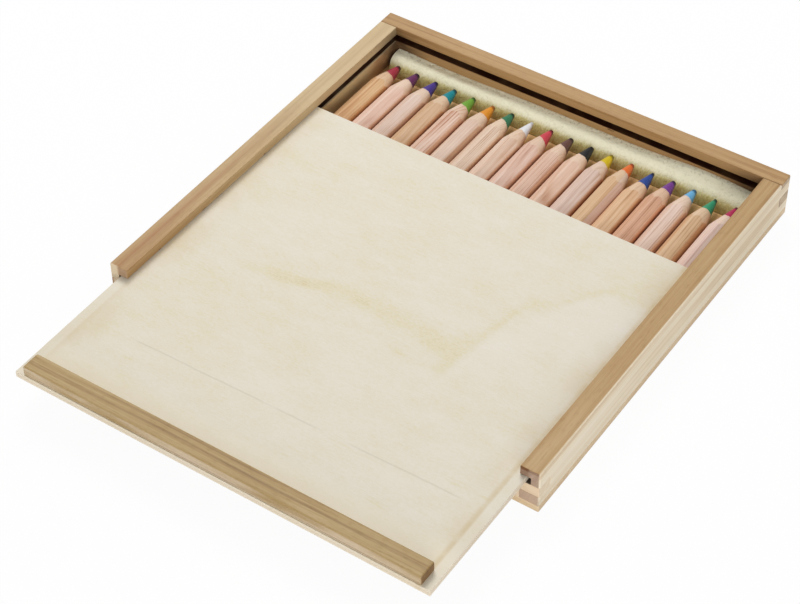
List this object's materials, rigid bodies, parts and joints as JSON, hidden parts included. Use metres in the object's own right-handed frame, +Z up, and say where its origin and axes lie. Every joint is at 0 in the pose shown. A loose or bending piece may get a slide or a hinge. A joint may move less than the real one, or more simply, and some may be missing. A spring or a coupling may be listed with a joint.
{
  "type": "pencil drawer box",
  "caption": "Flat finger-jointed wooden box whose thin sheet lid slides in grooves and is drawn part-way out over a row of jumbo hexagonal coloured pencils, with a foam strip at their tips.",
  "frame": {"origin": "centre of the case's underside, between the outer faces of its four walls", "axes": "+X across the box towards the right wall, +Y along the lid's slide towards the closed end, +Z up"},
  "size_m": [0.205, 0.267, 0.0212],
  "materials": {
    "case_wood": "oiled, satin",
    "bottom_sheet": "plain sanded sheet",
    "strip_wood": "oiled, satin",
    "lid_sheet": "plain sanded sheet",
    "foam": "open-cell foam",
    "pencil_wood": "unvarnished",
    "lead_crimson": "waxy",
    "lead_plum": "waxy",
    "lead_indigo": "waxy",
    "lead_teal": "waxy",
    "lead_lime": "waxy",
    "lead_amber": "waxy",
    "lead_forest": "waxy",
    "lead_white": "waxy",
    "lead_scarlet": "waxy",
    "lead_brown": "waxy",
    "lead_black": "waxy",
    "lead_yellow": "waxy",
    "lead_orange": "waxy",
    "lead_blue": "waxy",
    "lead_violet": "waxy",
    "lead_sky": "waxy",
    "lead_green": "waxy",
    "lead_magenta": "waxy"
  },
  "bodies": {
    "case": {"bottom_panel": "bottom_sheet", "left_wall": "case_wood", "right_wall": "case_wood", "back_wall": "case_wood", "front_wall": "case_wood", "foam_strip": "foam"},
    "lid": {"lid_panel": "lid_sheet", "lid_pull_strip": "strip_wood"},
    "pencil_crimson": {"pencil_crimson_barrel": "pencil_wood", "pencil_crimson_lead": "lead_crimson"},
    "pencil_plum": {"pencil_plum_barrel": "pencil_wood", "pencil_plum_lead": "lead_plum"},
    "pencil_indigo": {"pencil_indigo_barrel": "pencil_wood", "pencil_indigo_lead": "lead_indigo"},
    "pencil_teal": {"pencil_teal_barrel": "pencil_wood", "pencil_teal_lead": "lead_teal"},
    "pencil_lime": {"pencil_lime_barrel": "pencil_wood", "pencil_lime_lead": "lead_lime"},
    "pencil_amber": {"pencil_amber_barrel": "pencil_wood", "pencil_amber_lead": "lead_amber"},
    "pencil_forest": {"pencil_forest_barrel": "pencil_wood", "pencil_forest_lead": "lead_forest"},
    "pencil_white": {"pencil_white_barrel": "pencil_wood", "pencil_white_lead": "lead_white"},
    "pencil_scarlet": {"pencil_scarlet_barrel": "pencil_wood", "pencil_scarlet_lead": "lead_scarlet"},
    "pencil_brown": {"pencil_brown_barrel": "pencil_wood", "pencil_brown_lead": "lead_brown"},
    "pencil_black": {"pencil_black_barrel": "pencil_wood", "pencil_black_lead": "lead_black"},
    "pencil_yellow": {"pencil_yellow_barrel": "pencil_wood", "pencil_yellow_lead": "lead_yellow"},
    "pencil_orange": {"pencil_orange_barrel": "pencil_wood", "pencil_orange_lead": "lead_orange"},
    "pencil_blue": {"pencil_blue_barrel": "pencil_wood", "pencil_blue_lead": "lead_blue"},
    "pencil_violet": {"pencil_violet_barrel": "pencil_wood", "pencil_violet_lead": "lead_violet"},
    "pencil_sky": {"pencil_sky_barrel": "pencil_wood", "pencil_sky_lead": "lead_sky"},
    "pencil_green": {"pencil_green_barrel": "pencil_wood", "pencil_green_lead": "lead_green"},
    "pencil_magenta": {"pencil_magenta_barrel": "pencil_wood", "pencil_magenta_lead": "lead_magenta"}
  },
  "joints": [
    {"name": "lid_slide", "type": "slide", "parent": "case", "child": "lid", "axis": [0, 1, 0], "range_m": [-0.133, 0.0645]},
    {"name": "pencil_crimson_slide", "type": "slide", "parent": "case", "child": "pencil_crimson", "axis": [0, 1, 0], "range_m": [-0.0018, 0]},
    {"name": "pencil_plum_slide", "type": "slide", "parent": "case", "child": "pencil_plum", "axis": [0, 1, 0], "range_m": [-0.0018, 0]},
    {"name": "pencil_indigo_slide", "type": "slide", "parent": "case", "child": "pencil_indigo", "axis": [0, 1, 0], "range_m": [-0.0018, 0]},
    {"name": "pencil_teal_slide", "type": "slide", "parent": "case", "child": "pencil_teal", "axis": [0, 1, 0], "range_m": [-0.0018, 0]},
    {"name": "pencil_lime_slide", "type": "slide", "parent": "case", "child": "pencil_lime", "axis": [0, 1, 0], "range_m": [-0.0018, 0]},
    {"name": "pencil_amber_slide", "type": "slide", "parent": "case", "child": "pencil_amber", "axis": [0, 1, 0], "range_m": [-0.0018, 0]},
    {"name": "pencil_forest_slide", "type": "slide", "parent": "case", "child": "pencil_forest", "axis": [0, 1, 0], "range_m": [-0.0018, 0]},
    {"name": "pencil_white_slide", "type": "slide", "parent": "case", "child": "pencil_white", "axis": [0, 1, 0], "range_m": [-0.0018, 0]},
    {"name": "pencil_scarlet_slide", "type": "slide", "parent": "case", "child": "pencil_scarlet", "axis": [0, 1, 0], "range_m": [-0.0018, 0]},
    {"name": "pencil_brown_slide", "type": "slide", "parent": "case", "child": "pencil_brown", "axis": [0, 1, 0], "range_m": [-0.0018, 0]},
    {"name": "pencil_black_slide", "type": "slide", "parent": "case", "child": "pencil_black", "axis": [0, 1, 0], "range_m": [-0.0018, 0]},
    {"name": "pencil_yellow_slide", "type": "slide", "parent": "case", "child": "pencil_yellow", "axis": [0, 1, 0], "range_m": [-0.0018, 0]},
    {"name": "pencil_orange_slide", "type": "slide", "parent": "case", "child": "pencil_orange", "axis": [0, 1, 0], "range_m": [-0.0018, 0]},
    {"name": "pencil_blue_slide", "type": "slide", "parent": "case", "child": "pencil_blue", "axis": [0, 1, 0], "range_m": [-0.0018, 0]},
    {"name": "pencil_violet_slide", "type": "slide", "parent": "case", "child": "pencil_violet", "axis": [0, 1, 0], "range_m": [-0.0018, 0]},
    {"name": "pencil_sky_slide", "type": "slide", "parent": "case", "child": "pencil_sky", "axis": [0, 1, 0], "range_m": [-0.0018, 0]},
    {"name": "pencil_green_slide", "type": "slide", "parent": "case", "child": "pencil_green", "axis": [0, 1, 0], "range_m": [-0.0018, 0]},
    {"name": "pencil_magenta_slide", "type": "slide", "parent": "case", "child": "pencil_magenta", "axis": [0, 1, 0], "range_m": [-0.0018, 0]}
  ]
}
